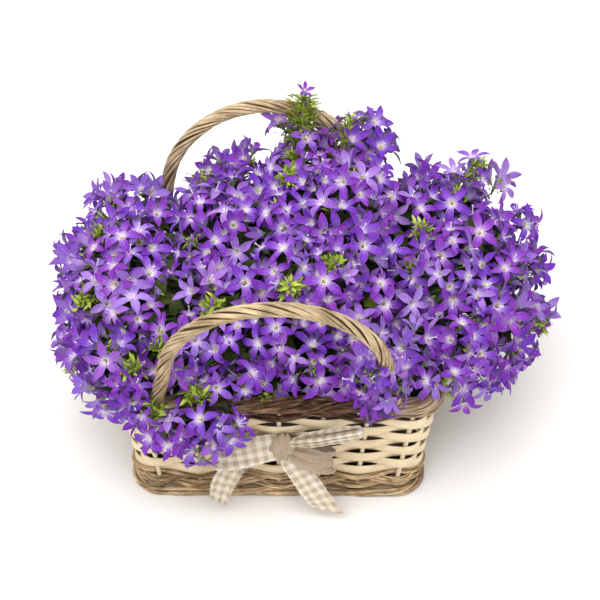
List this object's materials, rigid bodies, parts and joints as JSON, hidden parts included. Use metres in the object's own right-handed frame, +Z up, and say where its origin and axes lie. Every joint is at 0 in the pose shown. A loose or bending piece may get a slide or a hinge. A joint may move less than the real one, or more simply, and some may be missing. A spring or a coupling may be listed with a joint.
{
  "type": "potted bellflower in a wicker basket",
  "caption": "Oblong wicker planter with two rope handles and a ribbon bow, filled with a mound of starry bellflowers.",
  "frame": {"origin": "middle of the basket's flat underside, on the surface that it stands on", "axes": "+Z up, +X along the basket's long side to the right of the bow, -Y towards the front wall with the bow"},
  "size_m": [0.4806, 0.3365, 0.2905],
  "materials": {
    "board": "raw sawn board and pale peeled stakes",
    "strip": "raw cream wood strip",
    "bark": "rough bark",
    "willow": "peeled willow rods with greyed grooves",
    "ribbon": "woven gingham with frayed edges",
    "liner": "thin dark film",
    "soil": "moist potting soil",
    "leaf": "living leaf",
    "petal": "living petal"
  },
  "bodies": {
    "root": {"floor_with_stakes": "board", "foot_twig": "bark", "base_twig_1": "bark", "base_twig_2": "bark", "base_twig_3": "bark", "weaver_strip_1": "strip", "weaver_strip_2": "strip", "weaver_strip_3": "strip", "weaver_strip_4": "strip", "weaver_strip_5": "strip", "weaver_strip_6": "strip", "weaver_strip_7": "strip", "weaver_strip_8": "strip", "rim_twig_1": "bark", "rim_twig_2": "bark", "rim_border": "bark", "handle_front": "willow", "handle_back": "willow", "gingham_bow": "ribbon", "liner": "liner", "tall_shoot_1": "leaf", "tall_shoot_2": "leaf", "tall_shoot_3": "leaf", "tall_shoot_4": "leaf", "tall_shoot_5": "leaf", "tall_shoot_6": "leaf", "bloom_spray_01": "petal", "bloom_spray_02": "petal", "bloom_spray_03": "petal", "bloom_spray_04": "petal", "bloom_spray_05": "petal", "bloom_spray_06": "petal", "bloom_spray_07": "petal", "bloom_spray_08": "petal", "bloom_spray_09": "petal", "bloom_spray_10": "petal", "bloom_spray_11": "petal", "bloom_spray_12": "petal", "bloom_spray_13": "petal", "bloom_spray_14": "petal", "bloom_spray_15": "petal", "bloom_spray_16": "petal", "bloom_spray_17": "petal", "bloom_spray_18": "petal", "bloom_spray_19": "petal", "bloom_spray_20": "petal", "bloom_spray_21": "petal", "bloom_spray_22": "petal", "bloom_spray_23": "petal", "bloom_spray_24": "petal", "bloom_spray_25": "petal", "bloom_spray_26": "petal", "bloom_spray_27": "petal", "soil": "soil", "leafy_plant_1": "leaf", "leafy_plant_2": "leaf", "leafy_plant_3": "leaf", "leafy_plant_4": "leaf", "leafy_plant_5": "leaf", "leafy_plant_6": "leaf"}
  },
  "joints": []
}
